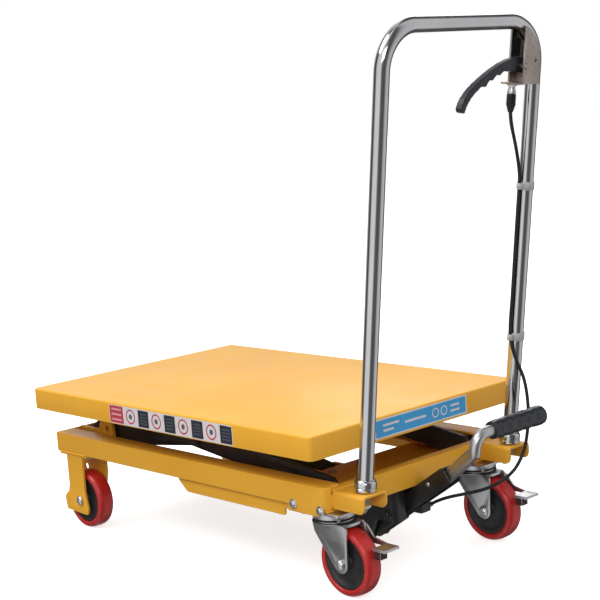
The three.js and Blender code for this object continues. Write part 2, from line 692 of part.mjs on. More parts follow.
// pedal frame: origin on the pedal's pivot, u along the arm
function pedalArm() {
  const { length, halfWidth, depth } = PEDAL;
  const half = depth / 2;
  const side = roundedOutline([
    [-15, -half - 2, 8], [64, -half - 2], [68, -half], [length, -half, 2],
    [length, half - 4, 2], [length - 4, half, 2], [70, half], [40, half - 5], [-15, half - 5, 8],
  ]);
  const wall = 3;
  const channel = plateXZ(side, [-halfWidth, halfWidth], 3);
  const hollow = block([-20, length + 1], [-halfWidth + wall, halfWidth - wall], [-half - 5, half - wall]);
  const plungerGap = block([-20, 62], [-halfWidth + wall, halfWidth - wall], [-half - 5, half + 5]);
  const bore = rodAlongY(6 + GAP, [-20, 20], 0, 0, 20);
  return cut(channel, hollow, plungerGap, bore);
}

function pedal() {
  const tilt = THREE.MathUtils.degToRad(PEDAL.slope);
  const frame = new THREE.Group();
  frame.position.set(PEDAL.pivotX, 0, PEDAL.pivotZ);
  frame.rotation.y = -tilt;
  group.add(frame);
  piece('pedal_arm', pedalArm(), FINISH.blackPaint(), frame);

  const barSide = roundedOutline([
    [391, 129, 3], [454, 180, 4], [459, 189, 4], [449, 197, 5], [380, 141, 3],
  ]);
  const fold = roundedOutline([[376.6, 132.5], [434.1, 179.1], [443.8, 167.1], [386.4, 120.4]]);
  const channel = cut(plateXZ(barSide, [-8, 8], 3), plateXZ(fold, [-5, 5]));
  const elbow = bentBar([[451, 0, 184], [GRIP.x, 0, GRIP.z], [GRIP.x, 146, GRIP.z]], 20, GRIP.rodR, 10, 6);
  piece('pedal_bar', join(channel, elbow), FINISH.zinc());

  const grip = turnedAlongY([
    [GRIP.rodR + GAP, GRIP.start], [11.5, GRIP.start], [12.5, GRIP.start + 3], [14, GRIP.start + 40],
    [15, GRIP.end - 18], [15, GRIP.end - 6], [11, GRIP.end], [0, GRIP.end], [0, 146 + GAP],
    [GRIP.rodR + GAP, 146 + GAP], [GRIP.rodR + GAP, GRIP.start],
  ], 24);
  piece('pedal_grip', grip, FINISH.rubber()).position.set(GRIP.x, 0, GRIP.z);
  piece('pump_plunger', rodAlongZ(7, [77, 101], 268, 0, 20), FINISH.chrome());
}

function pump() {
  piece('pump_mount', pumpMount(), FINISH.paint());
  piece('pump_body', pumpBody(), FINISH.blackPaint());
  const valveShape = roundedOutline([
    [-7, 6, 4], [7, 6, 4], [6, -8, 2], [17, -17, 4], [12, -24, 4], [-6, -12, 4],
  ]);
  const valve = piece('valve_lever', plateXZ(valveShape, [0, 4], 3), FINISH.brass());
  valve.position.set(288, PUMP.halfWidth + 0.5, 92);
}

// ---------------------------------------------------------------- handle, lever and cable

// Handle frame: origin at the foot, Z along the leaning uprights.
function handleSet() {
  const { halfWidth, foot, top, bend, tubeR } = HANDLE;
  const frame = new THREE.Group();
  frame.position.set(HANDLE.baseX, 0, HANDLE.baseZ);
  frame.rotation.y = THREE.MathUtils.degToRad(HANDLE.lean);
  group.add(frame);

  const tube = bentBar([[0, -halfWidth, foot], [0, -halfWidth, top], [0, halfWidth, top], [0, halfWidth, foot]],
    bend, tubeR, 16, 8);
  piece('handle_tube', tube, FINISH.chrome(), frame);

  for (const [name, side] of SIDES) {
    const collar = turnedAlongY([
      [tubeR + GAP, 0], [16, 0], [16, 12], [13.5, 16.5], [tubeR + GAP, 16.5], [tubeR + GAP, 0]], 28);
    collar.rotateX(Math.PI / 2);
    piece(`handle_collar_${name}`, collar, FINISH.chrome(), frame).position.set(0, side * halfWidth, 0);
  }

  piece('lever_bracket', leverBracket(), FINISH.steel(), frame);
  piece('hand_lever', handLever(), FINISH.lever(), frame);
  piece('lever_pin', rodPin(), FINISH.zinc(), frame);
  const adjuster = turnedAlongY([
    [0, 511], [2.6, 511], [4.2, 520], [6, 522], [6, 536], [3, 537], [3, 543], [5.5, 544], [5.5, 549.6],
    [0, 549.6]], 16);
  adjuster.rotateX(Math.PI / 2);
  piece('cable_adjuster', adjuster, FINISH.rubber(), frame).position.set(0, LEVER.cableY, 0);
}

const LEVER = { pivotY: 125, pivotW: 576, cableY: 112 };

// a plate whose outline is drawn across the handle (Y) and up it (W), thick along X
function plateAcross(shape, x, curveSegments = 6) {
  return barYZ(shape, x, curveSegments);
}

function leverBracket() {
  const cheek = new THREE.Shape();
  cheek.moveTo(119, 550);
  cheek.lineTo(156.5, 550);
  cheek.absarc(98.5, 578.7, 58, 0, 1.2, false);
  cheek.closePath();
  const cheeks = [[11.6, 14.2], [-14.2, -11.6]].map((x) => plateAcross(cheek, x, 8));
  const shelf = block([-14.2, 14.2], [104, 146.5], [550, 552.6]);
  const backWeb = block([-14.2, 14.2], [137, 139.6], [551, 585]);
  const pinHole = rodAlongX(3.5 + GAP, [-20, 20], LEVER.pivotY, LEVER.pivotW, 16);
  const rivetHole = rodAlongX(2.5, [11, 20], 145.2, 582.8, 12);
  return cut(join(...cheeks, shelf, backWeb), pinHole, rivetHole);
}

// grip lever with four finger hollows along its lower edge
function handLever() {
  const shape = new THREE.Shape();
  shape.moveTo(132, 584);
  shape.quadraticCurveTo(126, 592, 115, 589);
  shape.bezierCurveTo(85, 586, 55, 571, 28, 555);
  shape.bezierCurveTo(12, 545, 0, 534, -3, 521);
  shape.quadraticCurveTo(-2, 514, 6, 515.5);
  shape.lineTo(9, 523);
  shape.quadraticCurveTo(17, 537, 33, 546);
  const bumps = [[47, 549], [62, 557.5], [78, 564], [94, 568.5]];
  bumps.forEach(([y, w]) => {
    shape.quadraticCurveTo(y - 5, w + 5, y, w);
    shape.lineTo(y + 3, w + 2);
  });
  shape.quadraticCurveTo(101, 572, 108, 568);
  shape.lineTo(126, 566);
  shape.quadraticCurveTo(134, 568, 134, 576);
  shape.closePath();
  const body = plateAcross(shape, [-5.5, 5.5], 5);
  return cut(body, rodAlongX(3.5 + GAP, [-20, 20], LEVER.pivotY, LEVER.pivotW, 16));
}

function rodPin() {
  return rodAlongX(3.5, [-16.5, 16.5], LEVER.pivotY, LEVER.pivotW, 16);
}

const CABLE_ROUTE = [
  [458.6, 112.1, 666.9], [456, 116.5, 648], [450, 132, 611], [445.2, 142, 578], [441.9, 143.7, 556],
  [434, 143.7, 502], [426, 143.7, 447], [418, 143.7, 392], [411, 143.6, 345], [411.5, 144.5, 318],
  [415.5, 149.5, 292], [420, 157, 268], [424, 158.5, 243], [426, 157.5, 214], [425.5, 153.5, 184],
  [423, 147.5, 159], [418.5, 137, 137], [410, 126, 121], [399, 110.5, 109.5], [388, 89, 103],
  [372, 66, 99.5], [350, 51, 94], [328, 47, 85], [311, 46.5, 75.5],
];

function releaseCable() {
  const route = new THREE.CatmullRomCurve3(CABLE_ROUTE.map((p) => new THREE.Vector3(...p)));
  const section = new THREE.Shape();
  section.absarc(0, 0, CABLE_R, 0, 2 * Math.PI, false);
  const tube = new THREE.ExtrudeGeometry(section, { steps: 72, curveSegments: 5, extrudePath: route });
  piece('release_cable', tube, FINISH.rubber());
}

// ---------------------------------------------------------------- assembly

chassis();
SIDES.forEach(([name, side]) => wheelSet(name, side));
piece('platform_deck', platformDeck(), FINISH.paint());
const ram = ramGeometry();
scissor(ram);
hydraulicRam(ram);
pump();
pedal();
handleSet();
releaseCable();

// the origin is under the middle of the whole table's footprint
group.updateMatrixWorld(true);
const bounds = new THREE.Box3().setFromObject(group, true);
group.position.x = -(bounds.min.x + bounds.max.x) / 2;

export default group;
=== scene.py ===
"""Looks of a mobile scissor lift table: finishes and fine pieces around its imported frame.
Metres, +Z up. +X points to the push handle, -Y is the near side, +Y the side of the release lever."""

import json
import math

import bpy
from mathutils import Matrix, Vector


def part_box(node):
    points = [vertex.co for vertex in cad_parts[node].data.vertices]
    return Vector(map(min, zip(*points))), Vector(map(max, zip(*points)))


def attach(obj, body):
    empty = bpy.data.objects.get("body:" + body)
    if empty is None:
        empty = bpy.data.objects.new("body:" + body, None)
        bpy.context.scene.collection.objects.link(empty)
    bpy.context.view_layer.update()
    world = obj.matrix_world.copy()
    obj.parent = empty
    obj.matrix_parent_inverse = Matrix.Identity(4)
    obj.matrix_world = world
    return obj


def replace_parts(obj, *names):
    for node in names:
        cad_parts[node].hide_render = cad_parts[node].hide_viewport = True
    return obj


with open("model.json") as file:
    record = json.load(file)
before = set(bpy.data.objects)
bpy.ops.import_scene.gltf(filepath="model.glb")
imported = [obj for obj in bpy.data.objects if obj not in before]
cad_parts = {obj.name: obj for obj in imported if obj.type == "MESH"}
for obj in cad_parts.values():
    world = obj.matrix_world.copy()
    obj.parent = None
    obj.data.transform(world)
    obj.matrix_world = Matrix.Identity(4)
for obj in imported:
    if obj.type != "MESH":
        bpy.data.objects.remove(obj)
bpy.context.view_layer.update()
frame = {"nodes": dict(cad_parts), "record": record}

MM = 0.001
SIDES = (("near", -1), ("far", 1))
BODY_OF = {
    node: body
    for body, members in frame["record"]["behaviour"]["bodies"].items()
    for node in members
}

deck_low, deck_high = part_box("platform_deck")
DECK_MIDDLE = (deck_low.x + deck_high.x) / 2


def at(x, y, z):
    """A place given in millimetres from the floor under the platform's middle."""
    return Vector((x * MM + DECK_MIDDLE, y * MM, z * MM))


# ---------------------------------------------------------------- finishes


class Finish:
    """A material built up from noise: colour, then roughness, then layers of relief."""

    def __init__(self, name, slot, metallic=0.0, **sockets):
        self.slot = slot
        self.material = bpy.data.materials.new(name)
        self.material.use_nodes = True
        self.tree = self.material.node_tree
        self.shader = self.tree.nodes["Principled BSDF"]
        self.shader.inputs["Metallic"].default_value = metallic
        for socket, value in sockets.items():
            self.shader.inputs[socket.replace("_", " ")].default_value = value
        self.place = self.add("ShaderNodeTexCoord").outputs["Object"]
        self.relief_end = None

    def add(self, kind, **settings):
        node = self.tree.nodes.new(kind)
        for key, value in settings.items():
            setattr(node, key, value)
        return node

    def noise(self, size, detail=3.0, stretch=(1, 1, 1)):
        """Noise whose patches are about size millimetres wide."""
        mapping = self.add("ShaderNodeMapping")
        mapping.inputs["Scale"].default_value = stretch
        texture = self.add("ShaderNodeTexNoise")
        texture.inputs["Scale"].default_value = 1 / (size * MM)
        texture.inputs["Detail"].default_value = detail
        self.tree.links.new(self.place, mapping.inputs["Vector"])
        self.tree.links.new(mapping.outputs["Vector"], texture.inputs["Vector"])
        return texture.outputs["Fac"]

    def cells(self, size):
        """Crystal-like cells, for plated zinc."""
        texture = self.add("ShaderNodeTexVoronoi")
        texture.inputs["Scale"].default_value = 1 / (size * MM)
        self.tree.links.new(self.place, texture.inputs["Vector"])
        return texture.outputs["Distance"]

    def ramp(self, factor, stops):
        ramp = self.add("ShaderNodeValToRGB")
        elements = ramp.color_ramp.elements
        while len(elements) < len(stops):
            elements.new(0.5)
        for element, (position, colour) in zip(elements, stops):
            element.position = position
            element.color = (*colour, 1)
        self.tree.links.new(factor, ramp.inputs["Fac"])
        return ramp.outputs["Color"]

    def colour(self, *layers):
        """Each layer is a factor and its stops; later layers multiply the ones before."""
        result = None
        for factor, stops in layers:
            tint = self.ramp(factor, stops)
            if result is None:
                result = tint
                continue
            mix = self.add("ShaderNodeMix", data_type="RGBA", blend_type="MULTIPLY")
            mix.inputs["Factor"].default_value = 1
            self.tree.links.new(result, mix.inputs[6])
            self.tree.links.new(tint, mix.inputs[7])
            result = mix.outputs[2]
        self.tree.links.new(result, self.shader.inputs["Base Color"])
        return self

    def rough(self, factor, low, high):
        span = self.add("ShaderNodeMapRange")
        span.inputs["From Min"].default_value = 0.3
        span.inputs["From Max"].default_value = 0.7
        span.inputs["To Min"].default_value = low
        span.inputs["To Max"].default_value = high
        self.tree.links.new(factor, span.inputs["Value"])
        self.tree.links.new(span.outputs["Result"], self.shader.inputs["Roughness"])
        return self

    def relief(self, factor, depth, strength=0.6):
        bump = self.add("ShaderNodeBump")
        bump.inputs["Strength"].default_value = strength
        bump.inputs["Distance"].default_value = depth * MM
        self.tree.links.new(factor, bump.inputs["Height"])
        if self.relief_end is not None:
            self.tree.links.new(self.relief_end, bump.inputs["Normal"])
        self.relief_end = bump.outputs["Normal"]
        self.tree.links.new(self.relief_end, self.shader.inputs["Normal"])
        return self


UNTINTED = (1.0, 1.0, 1.0)


def worn(finish, size, darkest, start=0.56, end=0.72):
    """Sparse darker smudges."""
    return finish.noise(size, 6), [(start, UNTINTED), (end, darkest)]


def yellow_powder_coat():
    paint = Finish("yellow_powder_coat", "yellow_paint", Coat_Weight=0.08, Coat_Roughness=0.2,
                   Specular_IOR_Level=0.35)
    paint.colour(
        (paint.noise(180, 2), [(0.3, (0.90, 0.438, 0.034)), (0.7, (0.94, 0.482, 0.044))]),
        worn(paint, 46, (0.96, 0.93, 0.89), 0.66, 0.80),
    )
    paint.rough(paint.noise(60, 5), 0.32, 0.44)
    return paint.relief(paint.noise(1.6, 2), 0.05, 0.35).relief(paint.noise(40, 2), 0.15, 0.2)


def black_enamel():
    paint = Finish("black_enamel", "black_paint", Coat_Weight=0.15, Coat_Roughness=0.25)
    paint.colour(
        (paint.noise(60, 4), [(0.3, (0.010, 0.010, 0.010)), (0.75, (0.028, 0.026, 0.024))]),
        worn(paint, 12, (0.7, 0.68, 0.64)),
    )
    paint.rough(paint.noise(30, 5), 0.30, 0.52)
    return paint.relief(paint.noise(1.8, 3), 0.06, 0.4)


def bright_chrome():
    chrome = Finish("bright_chrome", "chrome", metallic=1.0)
    chrome.colour(
        (chrome.noise(120, 3), [(0.3, (0.62, 0.62, 0.63)), (0.7, (0.70, 0.70, 0.71))]),
        worn(chrome, 9, (0.90, 0.90, 0.91), 0.62, 0.8),
    )
    chrome.rough(chrome.noise(18, 6), 0.07, 0.17)
    return chrome.relief(chrome.noise(5, 2, (1, 1, 0.15)), 0.02, 0.12)


def plated_zinc():
    zinc = Finish("plated_zinc", "zinc", metallic=1.0)
    zinc.colour(
        (zinc.cells(3), [(0.0, (0.60, 0.60, 0.61)), (0.8, (0.66, 0.66, 0.66))]),
        worn(zinc, 14, (0.86, 0.85, 0.84), 0.6, 0.8),
    )
    zinc.rough(zinc.noise(20, 4), 0.30, 0.42)
    return zinc.relief(zinc.noise(2.2, 4), 0.02, 0.2)


def red_polyurethane():
    tyre = Finish("red_polyurethane", "tyre", Coat_Weight=0.2, Coat_Roughness=0.2, Subsurface_Weight=0.08)
    tyre.shader.inputs["Subsurface Radius"].default_value = (0.004, 0.001, 0.001)
    tyre.colour(
        (tyre.noise(30, 3), [(0.3, (0.50, 0.014, 0.013)), (0.7, (0.60, 0.024, 0.020))]),
        worn(tyre, 8, (0.86, 0.80, 0.78), 0.62, 0.82),
    )
    tyre.rough(tyre.noise(14, 6), 0.28, 0.42)
    return tyre.relief(tyre.noise(3.0, 5), 0.05, 0.35)


def hub_plastic():
    hub = Finish("dark_hub_plastic", "hub")
    hub.colour(
        (hub.noise(20, 4), [(0.3, (0.014, 0.014, 0.015)), (0.75, (0.032, 0.031, 0.031))]),
        worn(hub, 6, (0.75, 0.7, 0.66)),
    )
    hub.rough(hub.noise(9, 6), 0.38, 0.62)
    return hub.relief(hub.noise(1.0, 3), 0.05, 0.4)


def plain_steel():
    steel = Finish("plain_steel", "plain_steel", metallic=0.85)
    steel.colour(
        (steel.noise(25, 5), [(0.3, (0.40, 0.345, 0.305)), (0.7, (0.54, 0.475, 0.43))]),
        worn(steel, 5, (0.72, 0.62, 0.54)),
    )
    steel.rough(steel.noise(10, 6, (1, 1, 6)), 0.32, 0.50)
    return steel.relief(steel.noise(1.5, 4, (1, 1, 7)), 0.03, 0.35)


def slate_lever_coat():
    coat = Finish("slate_lever_coat", "lever_coat", Coat_Weight=0.1, Coat_Roughness=0.3)
    coat.colour(
        (coat.noise(30, 4), [(0.3, (0.010, 0.012, 0.017)), (0.75, (0.020, 0.025, 0.035))]),
        worn(coat, 6, (0.75, 0.76, 0.8)),
    )
    coat.rough(coat.noise(14, 5), 0.34, 0.52)
    return coat.relief(coat.noise(0.9, 3), 0.06, 0.5)


def black_rubber():
    rubber = Finish("black_rubber", "rubber")
    rubber.colour(
        (rubber.noise(15, 4), [(0.3, (0.006, 0.006, 0.007)), (0.8, (0.014, 0.014, 0.015))]),
        worn(rubber, 5, (1.6, 1.55, 1.5), 0.6, 0.85),
    )
    rubber.rough(rubber.noise(6, 6), 0.48, 0.72)
    return rubber.relief(rubber.noise(0.7, 4), 0.06, 0.5)


def smooth_grip():
    grip = Finish("smooth_slate_grip", "rubber", Coat_Weight=0.15, Coat_Roughness=0.15)
    grip.colour(
        (grip.noise(24, 4), [(0.3, (0.011, 0.013, 0.017)), (0.75, (0.020, 0.023, 0.030))]),
        worn(grip, 5, (1.4, 1.4, 1.4), 0.64, 0.85),
    )
    grip.rough(grip.noise(12, 5), 0.24, 0.38)
    return grip.relief(grip.noise(1.1, 3), 0.03, 0.25)


def turned_brass():
    brass = Finish("turned_brass", "brass", metallic=1.0)
    brass.colour(
        (brass.noise(12, 4), [(0.3, (0.46, 0.32, 0.13)), (0.7, (0.62, 0.46, 0.21))]),
        worn(brass, 4, (0.66, 0.6, 0.52)),
    )
    brass.rough(brass.noise(5, 5), 0.25, 0.45)
    return brass.relief(brass.noise(1.2, 3), 0.02, 0.3)


def brake_compound():
    block = Finish("brake_compound", "rubber")
    block.colour((block.noise(5, 4), [(0.3, (0.030, 0.008, 0.008)), (0.7, (0.070, 0.014, 0.012))]),
                 worn(block, 3, (0.7, 0.7, 0.7)))
    block.rough(block.noise(3, 5), 0.45, 0.65)
    return block.relief(block.noise(0.9, 4), 0.05, 0.5)


def grey_clip_plastic():
    clip = Finish("grey_clip_plastic", "zinc")
    clip.colour((clip.noise(6, 4), [(0.3, (0.42, 0.43, 0.44)), (0.7, (0.54, 0.55, 0.56))]))
    clip.rough(clip.noise(4, 4), 0.38, 0.55)
    return clip.relief(clip.noise(0.8, 3), 0.03, 0.35)


def printed(name, ink, roughness=0.4):
    """A printed vinyl film in one ink, with slight fading and handling marks."""
    film = Finish(name, None, Coat_Weight=0.15, Coat_Roughness=0.2)
    pale = tuple(min(1.0, channel * 1.12 + 0.01) for channel in ink)
    film.colour((film.noise(14, 4), [(0.3, ink), (0.7, pale)]), worn(film, 4, (0.88, 0.87, 0.85), 0.64, 0.8))
    film.rough(film.noise(8, 4), roughness - 0.08, roughness + 0.08)
    return film.relief(film.noise(1.2, 3), 0.015, 0.3)


YELLOW = yellow_powder_coat()
BLACK = black_enamel()
CHROME = bright_chrome()
ZINC = plated_zinc()
RED_TYRE = red_polyurethane()
HUB = hub_plastic()
STEEL = plain_steel()
SLATE = slate_lever_coat()
RUBBER = black_rubber()
GRIP = smooth_grip()
BRASS = turned_brass()
CLIP_GREY = grey_clip_plastic()
OXBLOOD = brake_compound()
WHITE_FILM = printed("white_film", (0.74, 0.70, 0.72))
RED_FILM = printed("red_film", (0.52, 0.045, 0.075))
PINK_FILM = printed("pink_film", (0.76, 0.36, 0.38))
SLATE_FILM = printed("slate_film", (0.020, 0.024, 0.034))
GREY_FILM = printed("grey_film", (0.10, 0.11, 0.13))
BLUE_FILM = printed("blue_film", (0.045, 0.36, 0.72))

# ---------------------------------------------------------------- making pieces


def alone(piece):
    """Selects one piece and nothing else, in object mode."""
    if bpy.context.mode != "OBJECT":
        bpy.ops.object.mode_set(mode="OBJECT")
    bpy.ops.object.select_all(action="DESELECT")
    piece.select_set(True)
    bpy.context.view_layer.objects.active = piece
    return piece


def nothing_selected():
    if bpy.context.mode != "OBJECT":
        bpy.ops.object.mode_set(mode="OBJECT")
    bpy.ops.object.select_all(action="DESELECT")


def edit_all(piece):
    alone(piece)
    bpy.ops.object.mode_set(mode="EDIT")
    bpy.ops.mesh.select_all(action="SELECT")


def leave_edit():
    bpy.ops.object.mode_set(mode="OBJECT")


def standing(foot, along):
    """The placement whose origin is at foot and whose Z runs along a direction."""
    return Matrix.Translation(foot) @ Vector(along).to_track_quat("Z", "Y").to_matrix().to_4x4()


def apply_modifiers(piece):
    alone(piece)
    for modifier in list(piece.modifiers):
        bpy.ops.object.modifier_apply(modifier=modifier.name)
    return piece


def finished(piece, finish, body, smooth=32):
    """Shades a piece, paints it and hangs it on its body."""
    alone(piece)
    bpy.ops.object.shade_smooth_by_angle(angle=math.radians(smooth))
    piece.data.materials.clear()
    piece.data.materials.append(finish.material)
    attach(piece, body)
    return piece


def turned(name, profile, foot, along, steps=48):
    """A piece turned round an axis; the closed profile holds (radius, height) in millimetres."""
    nothing_selected()
    bpy.ops.mesh.primitive_circle_add(vertices=len(profile), radius=0.01)
    piece = bpy.context.object
    piece.name = name
    for vertex, (radius, height) in zip(piece.data.vertices, profile):
        vertex.co = (radius * MM, 0, height * MM)
    edit_all(piece)
    bpy.ops.mesh.spin(steps=steps, angle=math.tau, center=(0, 0, 0), axis=(0, 0, 1))
    bpy.ops.mesh.select_all(action="SELECT")
    bpy.ops.mesh.remove_doubles(threshold=2e-6)
    bpy.ops.mesh.delete_loose(use_verts=True, use_edges=True, use_faces=False)
    bpy.ops.mesh.select_all(action="SELECT")
    bpy.ops.mesh.normals_make_consistent(inside=False)
    leave_edit()
    piece.data.transform(standing(foot, along))
    return piece


def rounded_bar(name, size, edge, placement, segments=3):
    """A bar or plate with rolled edges, from a cube: size and edge in millimetres, centred."""
    nothing_selected()
    bpy.ops.mesh.primitive_cube_add(size=1)
    piece = bpy.context.object
    piece.name = name
    edit_all(piece)
    bpy.ops.transform.resize(value=tuple(length * MM for length in size))
    bpy.ops.mesh.bevel(offset=edge * MM, segments=segments, affect="EDGES")
    leave_edit()
    piece.data.transform(placement)
    return piece


def film(name, size, corner, placement, thick=0.25):
    """A thin label with round corners, lying in its own XY plane."""
    nothing_selected()
    bpy.ops.mesh.primitive_plane_add(size=1)
    piece = bpy.context.object
    piece.name = name
    edit_all(piece)
    bpy.ops.transform.resize(value=(size[0] * MM, size[1] * MM, 1))
    bpy.ops.mesh.bevel(offset=corner * MM, segments=4, affect="VERTICES")
    bpy.ops.mesh.select_all(action="SELECT")
    bpy.ops.mesh.extrude_region_move(TRANSFORM_OT_translate={"value": (0, 0, thick * MM)})
    bpy.ops.mesh.select_all(action="SELECT")
    bpy.ops.mesh.normals_make_consistent(inside=False)
    leave_edit()
    piece.data.transform(placement)
    return piece


def tube(name, points, radius, roundness=5, swell=None):
    """A round bar along a line of points; swell gives each point's share of the radius."""
    nothing_selected()
    line = bpy.data.curves.new(name, "CURVE")
    line.dimensions = "3D"
    line.bevel_depth = radius * MM
    line.bevel_resolution = roundness
    line.use_fill_caps = True
    spline = line.splines.new("POLY")
    spline.points.add(len(points) - 1)
    for index, point in enumerate(points):
        spline.points[index].co = (*point, 1)
        spline.points[index].radius = swell(index) if swell else 1
    piece = bpy.data.objects.new(name, line)
    bpy.context.scene.collection.objects.link(piece)
    alone(piece)
    bpy.ops.object.convert(target="MESH")
    piece = bpy.context.object
    edit_all(piece)
    bpy.ops.mesh.remove_doubles(threshold=1e-6)
    bpy.ops.mesh.normals_make_consistent(inside=False)
    leave_edit()
    return piece


def curved_route(points, per_span=6):
    """Points of a smooth line that passes through every given point."""
    route = []
    last = len(points) - 1
    for index in range(last):
        before = points[max(index - 1, 0)]
        start, end = points[index], points[index + 1]
        after = points[min(index + 2, last)]
        for step in range(per_span):
            t = step / per_span
            route.append(0.5 * (
                2 * start + (end - before) * t
                + (2 * before - 5 * start + 4 * end - after) * t ** 2
                + (3 * start - before - 3 * end + after) * t ** 3))
    return route + [points[last]]


def joined(name, pieces):
    """Several pieces as one mesh."""
    alone(pieces[0])
    for piece in pieces[1:]:
        piece.select_set(True)
    if len(pieces) > 1:
        bpy.ops.object.join()
    pieces[0].name = name
    return pieces[0]


def merged_copy(node):
    """A copy of a CAD node's mesh with its loose triangles merged."""
    piece = bpy.data.objects.new(node + "_fine", frame["nodes"][node].data.copy())
    bpy.context.scene.collection.objects.link(piece)
    edit_all(piece)
    bpy.ops.mesh.remove_doubles(threshold=1e-6)
    leave_edit()
    return piece


def rolled_edges(node, finish, edge=0.8, segments=3, angle=32):
    """Stands for a folded or cut piece: the same shape with its edges rolled over."""
    piece = merged_copy(node)
    edit_all(piece)
    bpy.ops.mesh.dissolve_limited(angle_limit=math.radians(0.5))
    leave_edit()
    bevel = piece.modifiers.new("edges", "BEVEL")
    bevel.width = edge * MM
    bevel.segments = segments
    bevel.limit_method = "ANGLE"
    bevel.angle_limit = math.radians(angle)
    apply_modifiers(piece)
    finished(piece, finish, BODY_OF[node], 30)
    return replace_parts(piece, node)


def moulded(node, finish, grain=1.0, rounds=6):
    """Stands for a cast or moulded piece: remeshed and smoothed, so that its edges are soft."""
    piece = merged_copy(node)
    remesh = piece.modifiers.new("skin", "REMESH")
    remesh.mode = "VOXEL"
    remesh.voxel_size = grain * MM
    smooth = piece.modifiers.new("soft", "SMOOTH")
    smooth.factor = 0.5
    smooth.iterations = rounds
    apply_modifiers(piece)
    finished(piece, finish, BODY_OF[node], 60)
    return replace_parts(piece, node)


def hex_fastener(name, foot, along, radius=6.0, height=5.0, stub=0.0):
    """A hexagon head or nut on its washer, with the end of its thread where it shows."""
    washer = turned(name, [(0, 0), (radius * 1.35, 0), (radius * 1.42, 0.4), (radius * 1.42, 1.1),
                           (radius * 1.32, 1.4), (0, 1.4)], foot, along, 28)
    head = turned(name, [(0, 1.4), (radius * 0.96, 1.4), (radius, 1.9), (radius, height + 0.5),
                         (radius * 0.88, height + 1.2), (0, height + 1.4)], foot, along, 6)
    pieces = [washer, head]
    if stub:
        core = radius * 0.52
        profile = [(0, height)]
        for ring in range(int(stub / 0.8)):
            base = height + 1.2 + ring * 0.8
            profile += [(core, base), (core * 0.88, base + 0.4)]
        profile += [(core * 0.8, height + 1.4 + stub), (0, height + 1.4 + stub)]
        pieces.append(turned(name, profile, foot, along, 20))
    return joined(name, pieces)


def weld(name, start, end, radius=1.6, finish=YELLOW, body="chassis"):
    """A weld bead with its ripples along a seam."""
    steps = max(6, int((end - start).length / (1.1 * MM)))
    points = [start.lerp(end, index / steps) for index in range(steps + 1)]
    bead = tube(name, points, radius, 3, lambda index: 1.0 if index % 3 else 0.78)
    return finished(bead, finish, body, 70)


# ---------------------------------------------------------------- frame rails and brackets

HALF_RAIL = 197


def frame_rails():
    for side_name, side in SIDES:
        rolled_edges(f"side_rail_{side_name}", YELLOW, 1.4, 4)
        rolled_edges(f"handle_socket_{side_name}", YELLOW, 1.0)
        rolled_edges(f"rail_bracket_{side_name}", YELLOW, 0.7)
        rolled_edges(f"wheel_bracket_{side_name}", YELLOW, 0.9)
        outward = (0, side, 0)
        bolts = [hex_fastener("tab_bolts", at(x, side * HALF_RAIL, z), outward, 5.2, 3.6)
                 for x, z in ((275, 134), (331, 132))]
        finished(joined(f"tab_bolts_{side_name}", bolts), ZINC, "chassis")
        weld(f"gusset_weld_{side_name}", at(8, side * 192.8, 131.8), at(255, side * 192.8, 131.8))
        weld(f"socket_weld_{side_name}", at(341.6, side * 136, 159), at(341.6, side * 181, 159))
        weld(f"bracket_weld_{side_name}", at(-326, side * 196.4, 131.6), at(-252, side * 196.4, 131.6))
        for end in (-1, 1):
            weld(f"socket_side_weld_{side_name}_{'low' if end < 0 else 'high'}",
                 at(341.8, side * (158.6 + end * 24), 136), at(341.8, side * (158.6 + end * 24), 153), 1.4)
        foot_bolt = hex_fastener(f"foot_bolt_{side_name}", at(384, side * 158.6, 152.6), (0, 0, -1), 7.6, 9)
        finished(foot_bolt, ZINC, "chassis")
    rolled_edges("rear_cross_member", YELLOW, 1.0)
    rolled_edges("front_cross_member", YELLOW, 1.0)


# ---------------------------------------------------------------- wheels and casters

TYRE_PROFILE = (
    (39.1, -12.6), (40.2, -14.0), (42, -14.8), (44, -14.8), (46, -14.0), (47.8, -12.4), (49.1, -10.2),
    (49.75, -7.4), (50, -4), (50, -0.6), (49.8, 0), (50, 0.6), (50, 4), (49.75, 7.4), (49.1, 10.2),
    (47.8, 12.4), (46, 14.0), (44, 14.8), (42, 14.8), (40.2, 14.0), (39.1, 12.6),
)
HUB_PROFILE = (
    (5.4, -15), (11, -15), (12, -14.4), (12.4, -11.6), (13.4, -10.4), (29.4, -8.8), (31, -9.4),
    (33.6, -12), (35, -12.6), (38.2, -12.6), (38.8, -12), (38.8, 12), (38.2, 12.6), (35, 12.6), (33.6, 12),
    (31, 9.4), (29.4, 8.8), (13.4, 10.4), (12.4, 11.6), (12, 14.4), (11, 15), (5.4, 15),
)


def wheel(kind, side_name):
    """A red tyre on a stepped black hub, in place of a wheel's two turned solids."""
    tyre_node, hub_node = f"{kind}_tyre_{side_name}", f"{kind}_hub_{side_name}"
    low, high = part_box(tyre_node)
    centre = (low + high) / 2
    body = BODY_OF[tyre_node]
    tyre = turned(f"{tyre_node}_fine", TYRE_PROFILE, centre, (0, 1, 0), 96)
    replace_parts(finished(tyre, RED_TYRE, body, 40), tyre_node)
    hub = turned(f"{hub_node}_fine", HUB_PROFILE, centre, (0, 1, 0), 72)
    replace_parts(finished(hub, HUB, body, 30), hub_node)
    seals = [turned("seal", ((5.6, 0), (10.4, 0), (10.4, 0.5), (9.2, 0.9), (6.6, 0.9), (5.6, 0.5)),
                    centre + Vector((0, face * 14.9 * MM, 0)), (0, face, 0), 36) for face in (-1, 1)]
    finished(joined(f"{kind}_bearing_seals_{side_name}", seals), ZINC, body)


